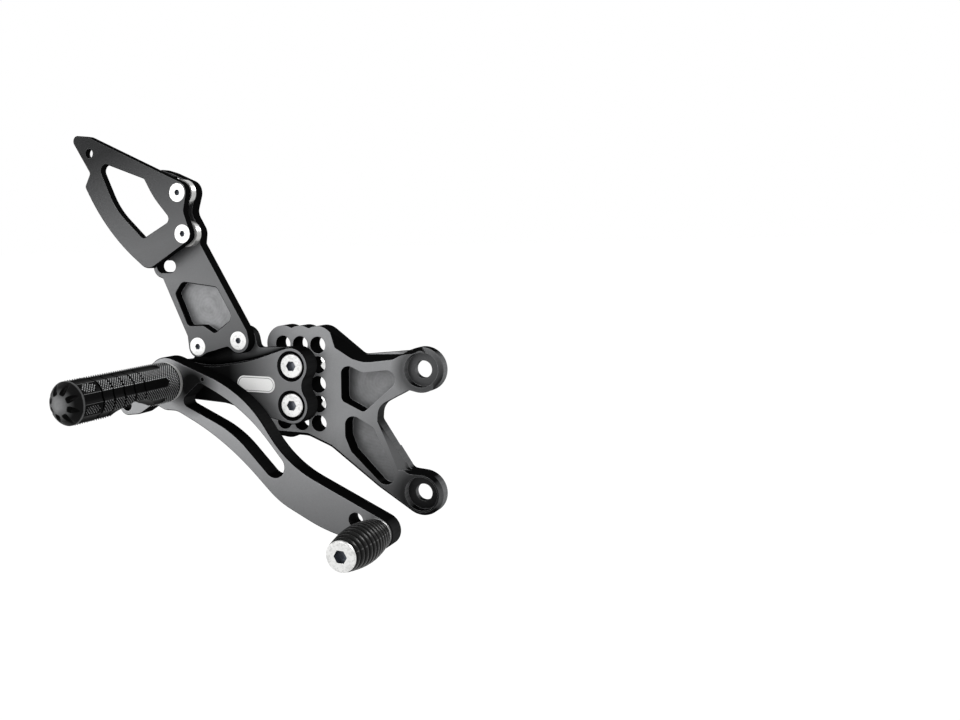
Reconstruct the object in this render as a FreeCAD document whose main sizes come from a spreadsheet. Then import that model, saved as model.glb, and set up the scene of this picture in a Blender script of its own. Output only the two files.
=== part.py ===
import FreeCAD, Part
import math
import os
import Sketcher
from types import SimpleNamespace

# Brake-side rear set of a motorbike, in millimetres.
# X points forward on the bike, Z up, and the whole assembly stands off the frame towards -Y.
# The origin lies on the frame face of the adapter plate, midway between its two frame bolts.

SIZES = {
    # adapter plate: two ears on the frame, and a grid of holes for the foot position
    "ear_spacing": 64.0,
    "ear_radius": 11.5,
    "ear_thick": 8.0,
    "back_relief": 1.0,
    "back_relief_end": 14.0,
    "frame_hole": 9.0,
    "frame_seat": 17.6,
    "frame_seat_deep": 4.5,
    "plate_thick": 12.0,
    "slope_start": 46.0,
    "slope_end": 10.0,
    "bevel_deep": 6.0,
    "bevel_lean": 40.0,
    "bevel_over": 0.6,
    "pocket_floor": 2.0,
    "grid_pitch": 10.5,
    "grid_front": -56.2,
    "grid_top": 43.5,
    "grid_hole": 9.0,
    "grid_lobe": 10.0,
    "scallop": 1.3,
    "scallop_gap": 0.189,
    # peg bracket, bolted on the grid
    "bracket_thick": 11.0,
    "bracket_lobe": 10.0,
    "waist_radius": 8.0,
    "arm_relief": 3.0,
    "ledge_drop": 3.0,
    "boss_radius": 6.5,
    "boss_front": 7.5,
    "pivot_back": 139.0,
    "pivot_height": 22.8,
    "pivot_boss": 10.5,
    # M8 main bolts with a low head, and the peg bolt
    "main_thread": 8.0,
    "main_pass": 8.4,
    "main_head": 13.0,
    "main_head_high": 5.0,
    "main_hex": 5.0,
    "hex_deep": 3.0,
    "main_long": 25.0,
    "nut_flats": 13.0,
    "nut_high": 6.5,
    "head_seat": 15.0,
    "head_sink": 0.2,
    "seat_break": 0.7,
    "peg_seat": 14.0,
    "peg_bolt_long": 45.0,
    # stay of the heel guard and its countersunk M5 screws
    "stay_thick": 6.0,
    "stay_lobe": 7.0,
    "stay_foot": 6.2,
    "stay_floor": 1.0,
    "stay_rear_x": -123.6,
    "stay_rear_z": 42.0,
    "stay_front_x": -97.0,
    "stay_front_z": 46.0,
    "small_thread": 5.0,
    "small_pass": 5.3,
    "small_head": 10.0,
    "small_cone": 2.5,
    "small_hex": 3.0,
    "small_hex_deep": 1.8,
    "stay_screw_long": 10.0,
    "slot_wide": 6.5,
    "slot_long": 12.2,
    "slot_lobe": 6.4,
    "slot_low_x": -142.85,
    "slot_low_z": 86.2,
    "slot_top_x": -137.4,
    "slot_top_z": 131.2,
    # heel guard on two spacers
    "guard_thick": 4.0,
    "guard_lobe": 6.2,
    "guard_foot": 5.4,
    "guard_top_x": -128.1,
    "guard_top_z": 125.7,
    "guard_low_x": -125.6,
    "guard_low_z": 103.7,
    "guard_screw_long": 14.0,
    "spacer_long": 4.0,
    "tip_hole": 5.3,
    "tip_back": 188.0,
    "tip_high": 150.2,
    # brake pedal, its bearing and the rear lug for the pushrod
    "pedal_gap": 1.0,
    "thrust_outer": 20.0,
    "pedal_thick": 11.0,
    "hub_radius": 13.7,
    "bush_outer": 18.0,
    "sleeve_outer": 14.0,
    "run_gap": 0.05,
    "end_float": 0.1,
    "lug_back": 28.7,
    "lug_drop": 14.9,
    "lug_radius": 5.7,
    "lug_hole": 6.5,
    "toe_x": -12.4,
    "toe_z": -47.2,
    "toe_end": 8.4,
    "spare_hole": 8.0,
    "spare_back": 11.7,
    "spare_rise": 5.4,
    "spring_hole": 2.2,
    "spring_ahead": 23.9,
    "spring_rise": 2.5,
    # footpeg
    "peg_radius": 11.0,
    "peg_turn": 23.0,
    "peg_washer_thick": 2.0,
    "barrel_long": 77.0,
    "base_land": 30.0,
    "ring_pitch": 8.4,
    "ring_wide": 0.9,
    "ring_floor": 0.4,
    "ring_deep": 0.8,
    "flute_start": 10.0,
    "flute_wide": 5.0,
    "flute_deep": 0.7,
    "scoop_middle": 34.0,
    "scoop_deep": 6.7,
    "scoop_radius": 33.0,
    "cap_rim": 1.4,
    "cap_dome": 6.0,
    "cap_spigot": 12.0,
    "cap_spigot_long": 9.0,
    "cap_crown": 6.6,
    "cap_flute": 1.7,
    "cap_flute_ring": 7.2,
    "cap_flute_root": 0.6,
    # toe peg: silver core and ribbed rubber sleeve
    "core_flange": 7.6,
    "core_flange_thick": 1.5,
    "core_shank": 5.0,
    "core_collar": 1.0,
    "core_hex": 6.0,
    "core_hex_deep": 5.0,
    "toe_thread": 8.0,
    "toe_stud": 10.0,
    "toe_long": 41.0,
    "rubber_end": 8.0,
    "rubber_middle": 10.2,
    "rib_deep": 0.8,
    # small broken edges of the machined plates
    "edge_break": 0.5,
}
GRID_COLUMNS = 3
GRID_ROWS = 5
BOLT_COLUMN = 1
BOLT_ROWS = {"upper": 1, "lower": 3}
PEG_RINGS = 5
PEG_FLUTES = 6
CAP_FLUTES = 10
RUBBER_RIBS = 11
HEX_SIDES = 6
TINY = 1e-4

doc = FreeCAD.newDocument("rear_set")
sheet = doc.addObject("Spreadsheet::Sheet", "d")
sheet.Label = "dimensions"
for row, (word, number) in enumerate(SIZES.items(), start=1):
    sheet.set(f"A{row}", word)
    sheet.set(f"B{row}", str(number))
    sheet.setAlias(f"B{row}", word)
doc.recompute()
d = SimpleNamespace(**{word: float(sheet.get(word)) for word in SIZES})
sub_parts = []

# Depths in front of the frame face, from the back of the stack to the foot of the peg,
# as rules for the spreadsheet and as numbers
BRACKET_FACE = "d.plate_thick + d.bracket_thick"
LEDGE = BRACKET_FACE + " - d.ledge_drop"
ARM_BACK = "d.plate_thick + d.arm_relief"
STAY_FACE = LEDGE + " + d.stay_thick"
GUARD_BACK = STAY_FACE + " + d.spacer_long"
GUARD_FACE = GUARD_BACK + " + d.guard_thick"
PEDAL_BACK = BRACKET_FACE + " + d.pedal_gap"
PEDAL_FACE = PEDAL_BACK + " + d.pedal_thick"
WASHER_BACK = PEDAL_FACE + " + d.end_float"
PEG_FOOT = WASHER_BACK + " + d.peg_washer_thick"
PEG_END = PEG_FOOT + " + d.barrel_long"

# Places of the main bolts and of the pivot
ear_z = d.ear_spacing / 2
column_x = [d.grid_front - step * d.grid_pitch for step in range(GRID_COLUMNS)]
row_z = [d.grid_top - step * d.grid_pitch for step in range(GRID_ROWS)]
bolt_x = d.grid_front - BOLT_COLUMN * d.grid_pitch
bolt_z = {word: d.grid_top - step * d.grid_pitch for word, step in BOLT_ROWS.items()}
BOLT_X = f"d.grid_front - {BOLT_COLUMN} * d.grid_pitch"
BOLT_Z = {word: f"d.grid_top - {step} * d.grid_pitch" for word, step in BOLT_ROWS.items()}
pivot_x, pivot_z = -d.pivot_back, d.pivot_height
PIVOT_X, PIVOT_Z = "-d.pivot_back", "d.pivot_height"


def bind(thing, prop, rule):
    """Ties a property to the spreadsheet."""
    thing.setExpression(prop, rule)


def new_body(name):
    """Starts a sub-part."""
    body = doc.addObject("PartDesign::Body", name)
    body.Label = name
    sub_parts.append(body)
    return body


def stand(body, x="0", depth="0", z="0"):
    """Places a sub-part by the spreadsheet."""
    for axis, rule in (("x", x), ("y", f"-({depth})"), ("z", z)):
        bind(body, "Placement.Base." + axis, rule)


def origin_plane(body, role):
    """Finds one of the body's own origin planes."""
    return [item for item in body.Origin.OriginFeatures if item.Role == role][0]


def new_sketch(body, depth="0", role="XZ_Plane"):
    """Lays a sketch on an origin plane, at a depth along that plane's normal."""
    flat = body.newObject("Sketcher::SketchObject", body.Name + "_sketch")
    flat.AttachmentSupport = [(origin_plane(body, role), "")]
    flat.MapMode = "FlatFace"
    bind(flat, "AttachmentOffset.Base.z", depth)
    return flat


def turned_runs(items):
    """Straight runs of a belt: each goes from one item to the next, tangent to discs."""
    reach = [item[2] * item[3] if len(item) == 4 else 0.0 for item in items]
    runs = []
    for one in range(len(items)):
        two = (one + 1) % len(items)
        across = items[two][0] - items[one][0]
        rise = items[two][1] - items[one][1]
        turn = math.asin((reach[two] - reach[one]) / math.hypot(across, rise))
        heading = math.atan2(rise, across) - turn
        left = (-math.sin(heading), math.cos(heading))
        start = [items[one][axis] - reach[one] * left[axis] for axis in (0, 1)]
        finish = [items[two][axis] - reach[two] * left[axis] for axis in (0, 1)]
        runs.append([start, finish, heading])
    return runs


def corner_bend(corner, before, after):
    """Rounds a corner, shortens the two runs that meet there and returns the arc's data."""
    turn = (after[2] - before[2] + math.pi) % (2 * math.pi) - math.pi
    if corner[2] <= 0 or abs(turn) < TINY:
        return None
    side = 1 if turn > 0 else -1
    cut = corner[2] * math.tan(abs(turn) / 2)
    before[1] = [corner[0] - cut * math.cos(before[2]), corner[1] - cut * math.sin(before[2])]
    after[0] = [corner[0] + cut * math.cos(after[2]), corner[1] + cut * math.sin(after[2])]
    middle = (before[1][0] - side * corner[2] * math.sin(before[2]),
              before[1][1] + side * corner[2] * math.cos(before[2]))
    return middle, corner[2], side


def belt(items):
    """Edges of a closed line that runs anticlockwise past corners and round discs.

    A corner is (across, up, rounding). A disc is (across, up, radius, side), where side 1
    keeps the disc inside the line and side -1 outside it.
    """
    runs = turned_runs(items)
    edges = []
    bends = []
    for one, item in enumerate(items):
        before, after = runs[one - 1], runs[one]
        if len(item) == 4:
            bends.append((item[:2], item[2], item[3]))
        else:
            bends.append(corner_bend(item, before, after))
    for one, bend in enumerate(bends):
        heading_in, heading_out = runs[one - 1][2], runs[one][2]
        if bend:
            middle, radius, side = bend
            first, last = heading_in - side * math.pi / 2, heading_out - side * math.pi / 2
            if side < 0:
                first, last = last, first
            sweep = (last - first) % (2 * math.pi)
            ring = Part.Circle(FreeCAD.Vector(*middle, 0), FreeCAD.Vector(0, 0, 1), radius)
            edges.append(Part.ArcOfCircle(ring, first, first + sweep))
        start, finish = runs[one][0], runs[one][1]
        if math.dist(start, finish) > TINY:
            edges.append(Part.LineSegment(FreeCAD.Vector(*start, 0), FreeCAD.Vector(*finish, 0)))
    return edges


def outline(flat, items):
    """Draws a belt in a sketch and locks it there."""
    for edge in belt(items):
        index = flat.addGeometry(edge, False)
        flat.addConstraint(Sketcher.Constraint("Block", index))


def circle(flat, across, rise, diameter):
    """Draws a circle whose centre and diameter follow the spreadsheet."""
    ring = Part.Circle(FreeCAD.Vector(1, 1, 0), FreeCAD.Vector(0, 0, 1), 1)
    index = flat.addGeometry(ring, False)
    for kind, rule in (("DistanceX", across), ("DistanceY", rise), ("Diameter", diameter)):
        places = (index,) if kind == "Diameter" else (index, 3)
        number = flat.addConstraint(Sketcher.Constraint(kind, *places, 2.0))
        label = f"circle{index}_{kind}"
        flat.renameConstraint(number, label)
        bind(flat, "Constraints." + label, rule)


def hexagon(flat, flats):
    """Draws a hexagon round the sketch origin, by its size across flats."""
    reach = flats / math.sqrt(3)
    step = 2 * math.pi / HEX_SIDES
    outline(flat, [(reach * math.cos(side * step), reach * math.sin(side * step), 0)
                   for side in range(HEX_SIDES)])


def slot_items(x, z):
    """A level slot for a master cylinder screw."""
    half = (d.slot_long - d.slot_wide) / 2
    return [(x - half, z, d.slot_wide / 2, 1), (x + half, z, d.slot_wide / 2, 1)]


def pad(flat, length):
    """Thickens a sketch along its normal."""
    body = flat.getParentGeoFeatureGroup()
    made = body.newObject("PartDesign::Pad", body.Name + "_pad")
    made.Profile = flat
    bind(made, "Length", length)
    return made


def pocket(flat, length=None, away=False):
    """Cuts a sketch into the solid against its normal, or along it. No length cuts through."""
    body = flat.getParentGeoFeatureGroup()
    made = body.newObject("PartDesign::Pocket", body.Name + "_pocket")
    made.Profile = flat
    made.Reversed = away
    if length is None:
        made.Type = "ThroughAll"
    else:
        bind(made, "Length", length)
    return made


def hole(body, across, rise, depth, diameter, deep=None, away=False):
    """Cuts a round hole, right through or as deep as given."""
    flat = new_sketch(body, depth)
    circle(flat, across, rise, diameter)
    return pocket(flat, deep, away)


def sink(body, across, rise, depth, small, large, high):
    """Cuts a cone whose wide end lies at a depth."""
    made = body.newObject("PartDesign::SubtractiveCone", body.Name + "_sink")
    made.AttachmentSupport = [(origin_plane(body, "XZ_Plane"), "")]
    made.MapMode = "FlatFace"
    bind(made, "AttachmentOffset.Base.x", across)
    bind(made, "AttachmentOffset.Base.y", rise)
    bind(made, "AttachmentOffset.Base.z", f"{depth} - ({high})")
    bind(made, "Radius1", small)
    bind(made, "Radius2", large)
    bind(made, "Height", high)
    return made


def spin(body, points):
    """Turns a half profile, given as (radius, y) points, about the body's Y axis."""
    flat = new_sketch(body, role="XY_Plane")
    outline(flat, [point if len(point) > 2 else (*point, 0) for point in points])
    made = body.newObject("PartDesign::Revolution", body.Name + "_turned")
    made.Profile = flat
    made.ReferenceAxis = (flat, ["V_Axis"])
    made.Angle = 360
    return made


def ring_pattern(body, feature, count):
    """Repeats a cut round the body's Y axis."""
    made = body.newObject("PartDesign::PolarPattern", body.Name + "_ring")
    made.Originals = [feature]
    made.Axis = ([item for item in body.Origin.OriginFeatures if item.Role == "Y_Axis"][0], [""])
    made.Angle = 360
    made.Occurrences = count
    body.Tip = made
    return made


def break_face(body, depth):
    """Takes the sharpness off the lines that bound a plate's face, but not off round holes."""
    doc.recompute()
    before = body.Tip
    names = []
    for number, edge in enumerate(before.Shape.Edges, start=1):
        box = edge.BoundBox
        level = abs(box.YMin + depth) < TINY and abs(box.YMax + depth) < TINY
        if level and not edge.isClosed():
            names.append(f"Edge{number}")
    made = body.newObject("PartDesign::Chamfer", body.Name + "_break")
    made.Base = (before, names)
    bind(made, "Size", "d.edge_break")


def wedge(body, sections):
    """Cuts a slanting facet that grows between triangles lying at two heights."""
    flats = []
    for height, corners in sections:
        flat = new_sketch(body, str(height), "XY_Plane")
        outline(flat, [(*corner, 0) for corner in corners])
        flats.append(flat)
    made = body.newObject("PartDesign::SubtractiveLoft", body.Name + "_wedge")
    made.Profile = flats[0]
    made.Sections = flats[1:]
    made.Ruled = True


def make_adapter_plate():
    """Plate with two frame ears and the grid of holes that sets the foot position."""
    body = new_body("adapter_plate")
    dip = math.sqrt(d.grid_lobe ** 2 - (d.grid_pitch / 2) ** 2) + d.scallop_gap
    grid_edge = [(column_x[0], row_z[0], d.grid_lobe, 1)]
    for before, x in zip(column_x, column_x[1:]):
        grid_edge.append(((before + x) / 2, row_z[0] + dip, d.scallop))
        grid_edge.append((x, row_z[0], d.grid_lobe, 1))
    for before, z in zip(row_z, row_z[1:]):
        grid_edge.append((column_x[-1] - dip, (before + z) / 2, d.scallop))
        grid_edge.append((column_x[-1], z, d.grid_lobe, 1))
    flat = new_sketch(body)
    outline(flat, [(0, -ear_z, d.ear_radius, 1), (-6.3, d.ear_radius + 0.4 - ear_z, 4), (-23.4, 4.8, 3),
                   (-22.8, 12.6, 8), (-6.6, ear_z - d.ear_radius + 1.1, 3), (0, ear_z, d.ear_radius, 1),
                   (-8.0, ear_z + d.ear_radius - 2.2, 3), (-33.0, 38.7, 4), *grid_edge,
                   (column_x[-1] + 6.8, row_z[-1] - 7.6, 5),
                   (column_x[0] - 7.7, row_z[-1] - 7.6, 12), (-50.3, -11.0, 10),
                   (-24.0, 1.4 - ear_z, 12)])
    pad(flat, "d.plate_thick")
    slope = new_sketch(body, "d.ear_spacing", "XY_Plane")
    face, ear_face = -d.plate_thick, -d.ear_thick
    outline(slope, [(-d.slope_start, face, 0), (-d.slope_end, ear_face, 0),
                    (d.ear_spacing, ear_face, 0), (d.ear_spacing, 2 * face, 0),
                    (-d.slope_start, 2 * face, 0)][::-1])
    pocket(slope, "2 * d.ear_spacing")
    reach = d.bevel_deep * math.tan(math.radians(d.bevel_lean))
    ear_top = d.ear_radius - reach
    for items in ([(-50.6, 56.0, 0), (-46.2, 42.4, 0), (-33.5, 33.2, 9),
                   (-8.5, ear_z + 2.2, 8), (0, ear_z, ear_top, -1), (-6.5, ear_z - 7.1, 0),
                   (-6.5, 15.0, 0), (40.0, 15.0, 0), (40.0, 70.0, 0), (-50.6, 70.0, 0)],
                  [(-13.5, 6.5 - ear_z, 8), (0, -ear_z, ear_top, -1),
                   (-21.6, 4.7 - ear_z, 8), (-49.1, -9.4, 8),
                   (column_x[0] - 7.0, row_z[-1] - 5.7, 8), (-84.0, row_z[-1] - 5.7, 0),
                   (-84.0, -70.0, 0), (40.0, -70.0, 0), (40.0, -8.0, 0), (-13.5, -8.0, 0)]):
        edge = new_sketch(body, "d.plate_thick")
        outline(edge, items)
        bevel = pocket(edge, "d.bevel_deep + d.bevel_over")
        bind(bevel, "TaperAngle", "-d.bevel_lean")
    wedge(body, [(4.8, [(-23.3, -9.0), (-23.8, -9.9), (-20.0, -14.0)]),
                 (-20.5, [(-6.0, -6.0), (-14.5, -8.97), (5.0, -14.0)])])
    floor = "d.plate_thick - d.pocket_floor"
    for items in ([(-42.9, 14.5, 3.5), (-30.6, 8.8, 2.5), (-4.0, 33.3, 4.8), (-31.0, 29.7, 4),
                   (-42.9, 35.1, 4)],
                  [(-3.4, -46.2, 4.9), (-25.3, 1.0, 3), (-34.5, 6.1, 3), (-41.0, 7.4, 4.5),
                   (-41.1, -4.6, 6), (-37.9, -12.4, 3)]):
        window = new_sketch(body, "d.plate_thick")
        outline(window, items)
        pocket(window, floor)
    grid = new_sketch(body, "d.plate_thick")
    for column in range(GRID_COLUMNS):
        for step in range(GRID_ROWS):
            circle(grid, f"d.grid_front - {column} * d.grid_pitch",
                   f"d.grid_top - {step} * d.grid_pitch", "d.grid_hole")
    pocket(grid)
    for z in ("d.ear_spacing / 2", "-d.ear_spacing / 2"):
        hole(body, "0", z, "d.ear_thick", "d.frame_hole")
        hole(body, "0", z, "d.ear_thick", "d.frame_seat", "d.frame_seat_deep")
    back = new_sketch(body)
    far, near = 2 * column_x[-1], -d.back_relief_end
    outline(back, [(far, -d.ear_spacing, 0), (near, -d.ear_spacing, 0),
                   (near, d.ear_spacing, 0), (far, d.ear_spacing, 0)])
    pocket(back, "d.back_relief", away=True)


def nipped_lobes():
    """The right side shared by every outline of the bracket: two lobes and the nip between."""
    reach = d.bracket_lobe + d.waist_radius
    middle = (bolt_z["upper"] + bolt_z["lower"]) / 2
    half = (bolt_z["upper"] - bolt_z["lower"]) / 2
    nip = bolt_x + math.sqrt(reach ** 2 - half ** 2) + d.run_gap
    return [(bolt_x, bolt_z["lower"], d.bracket_lobe, 1), (nip, middle, d.waist_radius, -1),
            (bolt_x, bolt_z["upper"], d.bracket_lobe, 1)]


def make_peg_bracket():
    """Stepped arm that carries the footpeg, the pedal pivot and the stay of the guard."""
    body = new_body("peg_bracket")
    pivot = (pivot_x, pivot_z, d.pivot_boss, 1)
    arm = new_sketch(body, ARM_BACK)
    outline(arm, [*nipped_lobes(), (-88.4, 41.9, 2.5),
                  (d.stay_front_x, d.stay_front_z, d.boss_front, 1),
                  (d.stay_rear_x, d.stay_rear_z, d.boss_radius, 1), (-129.3, 34.6, 3),
                  pivot, (-108.0, 11.0, 25)])
    pad(arm, "d.bracket_thick - d.arm_relief - d.ledge_drop")
    face = new_sketch(body, LEDGE)
    outline(face, [*nipped_lobes(), (-92.0, 35.0, 90), (-118.0, 30.6, 60), pivot,
                   (-108.0, 11.0, 25)])
    pad(face, "d.ledge_drop")
    foot = new_sketch(body, "d.plate_thick")
    outline(foot, [*nipped_lobes(), (-86.5, 36.0, 3), (-86.5, 7.0, 3)])
    pad(foot, "d.arm_relief")
    break_face(body, d.plate_thick + d.bracket_thick)
    seat_deep = "d.main_head_high + d.head_sink"
    for z in BOLT_Z.values():
        hole(body, BOLT_X, z, BRACKET_FACE, "d.main_pass")
        hole(body, BOLT_X, z, BRACKET_FACE, "d.head_seat", seat_deep)
        sink(body, BOLT_X, z, BRACKET_FACE, "d.head_seat / 2",
             "d.head_seat / 2 + d.seat_break", "d.seat_break")
    hole(body, PIVOT_X, PIVOT_Z, BRACKET_FACE, "d.main_pass")
    hole(body, PIVOT_X, PIVOT_Z, ARM_BACK, "d.peg_seat", seat_deep, away=True)
    for x, z in (("d.stay_front_x", "d.stay_front_z"), ("d.stay_rear_x", "d.stay_rear_z")):
        hole(body, x, z, LEDGE, "d.small_thread")


def make_guard_stay():
    """Plate that carries the heel guard and has two slots for the master cylinder."""
    body = new_body("guard_stay")
    top_x, top_z, low_x, low_z = d.guard_top_x, d.guard_top_z, d.guard_low_x, d.guard_low_z
    slot_x = d.slot_low_x - (d.slot_long - d.slot_wide) / 2
    flat = new_sketch(body, LEDGE)
    outline(flat, [(d.stay_rear_x, d.stay_rear_z, d.stay_foot, 1), (-117.6, 38.4, 2),
                   (-103.6, 42.4, 2), (d.stay_front_x, d.stay_front_z, d.stay_lobe, 1),
                   (-91.0, 51.5, 1.5), (low_x + 6.3, low_z - 5.5, 0.8),
                   (low_x, low_z, d.stay_lobe, 1),
                   ((top_x + low_x) / 2 + 2.7, (top_z + low_z) / 2 + 0.3, 6),
                   (top_x, top_z, d.stay_lobe, 1),
                   (top_x - 8.5, top_z + 11.3, 20), (top_x - 19.5, top_z + 14.7, 4),
                   (top_x - 19.5, top_z - 1.1, 4), (top_x - 10.5, top_z - 9.2, 5),
                   (low_x - 13.0, low_z + 0.3, 6), (-150.6, 94.2, 5),
                   (slot_x, d.slot_low_z, d.slot_lobe, 1),
                   (slot_x - 0.2, d.slot_low_z - d.slot_lobe - 0.3, 1.5), (-130.4, 47.6, 2)])
    pad(flat, "d.stay_thick")
    window = new_sketch(body, STAY_FACE)
    outline(window, [(-129.3, 53.6, 2.5), (-119.3, 54.0, 4), (-112.0, 49.9, 2),
                     (-100.2, 58.1, 4), (-110.0, 74.6, 3), (-132.3, 77.4, 3.5),
                     (-137.2, 71.2, 2)])
    pocket(window, "d.stay_thick - d.stay_floor")
    slots = new_sketch(body, STAY_FACE)
    outline(slots, slot_items(d.slot_low_x, d.slot_low_z))
    outline(slots, slot_items(d.slot_top_x, d.slot_top_z))
    pocket(slots)
    break_face(body, d.plate_thick + d.bracket_thick - d.ledge_drop + d.stay_thick)
    for x, z in (("d.stay_front_x", "d.stay_front_z"), ("d.stay_rear_x", "d.stay_rear_z")):
        hole(body, x, z, STAY_FACE, "d.small_pass")
        sink(body, x, z, STAY_FACE, "d.small_thread / 2", "d.small_head / 2", "d.small_cone")
    for x, z in (("d.guard_top_x", "d.guard_top_z"), ("d.guard_low_x", "d.guard_low_z")):
        hole(body, x, z, STAY_FACE, "d.small_thread")


def make_heel_guard():
    """Flat guard for the heel, with a window and a hole near its tip."""
    body = new_body("heel_guard")
    top_x, top_z, low_x, low_z = d.guard_top_x, d.guard_top_z, d.guard_low_x, d.guard_low_z
    tip_x, tip_z = -d.tip_back, d.tip_high
    flat = new_sketch(body, GUARD_BACK)
    outline(flat, [(low_x, low_z, d.guard_foot, 1),
                   ((top_x + low_x) / 2 + 2.7, (top_z + low_z) / 2 + 0.8, 6),
                   (top_x, top_z, d.guard_lobe, 1), (tip_x + 0.2, tip_z + 9.3, 6),
                   (tip_x - 14.7, tip_z + 11.2, 3), (tip_x - 0.2, tip_z - 11.0, 2),
                   (tip_x - 4.4, tip_z - 18.3, 2), (tip_x + 10.5, tip_z - 45.0, 120),
                   (low_x - 24.1, low_z - 19.8, 8)])
    pad(flat, "d.guard_thick")
    window = new_sketch(body, GUARD_FACE)
    outline(window, [(low_x - 26.4, low_z - 1.8, 2.5), (low_x - 7.3, low_z + 7.5, 3),
                     (top_x - 16.3, top_z - 1.7, 50), (top_x - 22.1, top_z + 8.4, 1.5),
                     (tip_x + 5.3, tip_z - 4.4, 3.4), (tip_x + 17.9, tip_z - 31.6, 45)])
    pocket(window)
    break_face(body, d.plate_thick + d.bracket_thick - d.ledge_drop + d.stay_thick
               + d.spacer_long + d.guard_thick)
    hole(body, "-d.tip_back", "d.tip_high", GUARD_FACE, "d.tip_hole")
    for x, z in (("d.guard_top_x", "d.guard_top_z"), ("d.guard_low_x", "d.guard_low_z")):
        hole(body, x, z, GUARD_FACE, "d.small_pass")
        sink(body, x, z, GUARD_FACE, "d.small_thread / 2", "d.small_head / 2", "d.small_cone")


def make_brake_pedal():
    """Lever with a bearing hub, a lug for the pushrod and a tip for the toe peg."""
    body = new_body("brake_pedal")
    lug_x, lug_z = pivot_x - d.lug_back, pivot_z - d.lug_drop
    flat = new_sketch(body, PEDAL_BACK)
    outline(flat, [(d.toe_x, d.toe_z, d.toe_end, 1), (-62.9, -16.8, 60), (-84.5, 13.4, 62),
                   (-103.1, 24.6, 72), (pivot_x, pivot_z, d.hub_radius, 1),
                   (lug_x, lug_z, d.lug_radius, 1), (-158.7, 3.3, 8), (-148.2, 9.9, 3),
                   (-141.0, 6.8, 8), (-133.0, 6.9, 10), (-101.7, -6.9, 150),
                   (-68.8, -37.5, 45), (-43.8, -48.7, 80)])
    pad(flat, "d.pedal_thick")
    window = new_sketch(body, PEDAL_FACE)
    outline(window, [(-130.2, 11.9, 3), (-95.9, -2.3, 60), (-71.0, -18.6, 5.8, 1),
                     (-88.0, 9.8, 95), (-116.9, 23.3, 3)])
    pocket(window)
    for depth in (d.pedal_thick, 0):
        break_face(body, d.plate_thick + d.bracket_thick + d.pedal_gap + depth)
    hole(body, PIVOT_X, PIVOT_Z, PEDAL_FACE, "d.bush_outer")
    hole(body, PIVOT_X + " - d.lug_back", PIVOT_Z + " - d.lug_drop", PEDAL_FACE, "d.lug_hole")
    hole(body, "d.toe_x", "d.toe_z", PEDAL_FACE, "d.toe_thread")
    hole(body, "d.toe_x - d.spare_back", "d.toe_z + d.spare_rise", PEDAL_FACE, "d.spare_hole")
    hole(body, PIVOT_X + " + d.spring_ahead", PIVOT_Z + " + d.spring_rise", PEDAL_FACE,
         "d.spring_hole")


def make_ring(name, x, z, depth, outer, inner, length):
    """A plain ring: spacer, bush, sleeve or washer."""
    body = new_body(name)
    flat = new_sketch(body)
    circle(flat, "0", "0", outer)
    circle(flat, "0", "0", inner)
    pad(flat, length)
    stand(body, x, depth, z)


def make_nut(name, z):
    """Plain hexagon nut against the back of the adapter plate."""
    body = new_body(name)
    flat = new_sketch(body)
    hexagon(flat, d.nut_flats)
    circle(flat, "0", "0", "d.main_thread")
    pad(flat, "d.nut_high")
    stand(body, BOLT_X, "d.back_relief - d.nut_high", z)


def make_cap_screw(name, x, z, depth, length, away):
    """Low socket-head screw standing on the seat under its head."""
    body = new_body(name)
    way = 1 if away else -1
    head, shank = d.main_head / 2, d.main_thread / 2
    top = way * d.main_head_high
    chamfer = d.edge_break
    points = [(0, -way * length), (shank - chamfer, -way * length),
              (shank, -way * (length - chamfer)), (shank, 0), (head, 0),
              (head, top - way * chamfer), (head - chamfer, top), (0, top)]
    spin(body, points if away else points[::-1])
    socket = new_sketch(body, "-d.main_head_high" if away else "d.main_head_high")
    hexagon(socket, d.main_hex)
    pocket(socket, "d.hex_deep", away)
    stand(body, x, depth, z)


def make_flat_screw(name, x, z, depth, length):
    """Countersunk M5 screw, flush with the face it holds."""
    body = new_body(name)
    shank, head = d.small_thread / 2, d.small_head / 2
    chamfer = d.edge_break
    spin(body, [(0, length), (0, 0), (head, 0), (shank, d.small_cone),
                (shank, length - chamfer), (shank - chamfer, length)])
    socket = new_sketch(body)
    hexagon(socket, d.small_hex)
    pocket(socket, "d.small_hex_deep")
    stand(body, x, depth, z)


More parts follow.
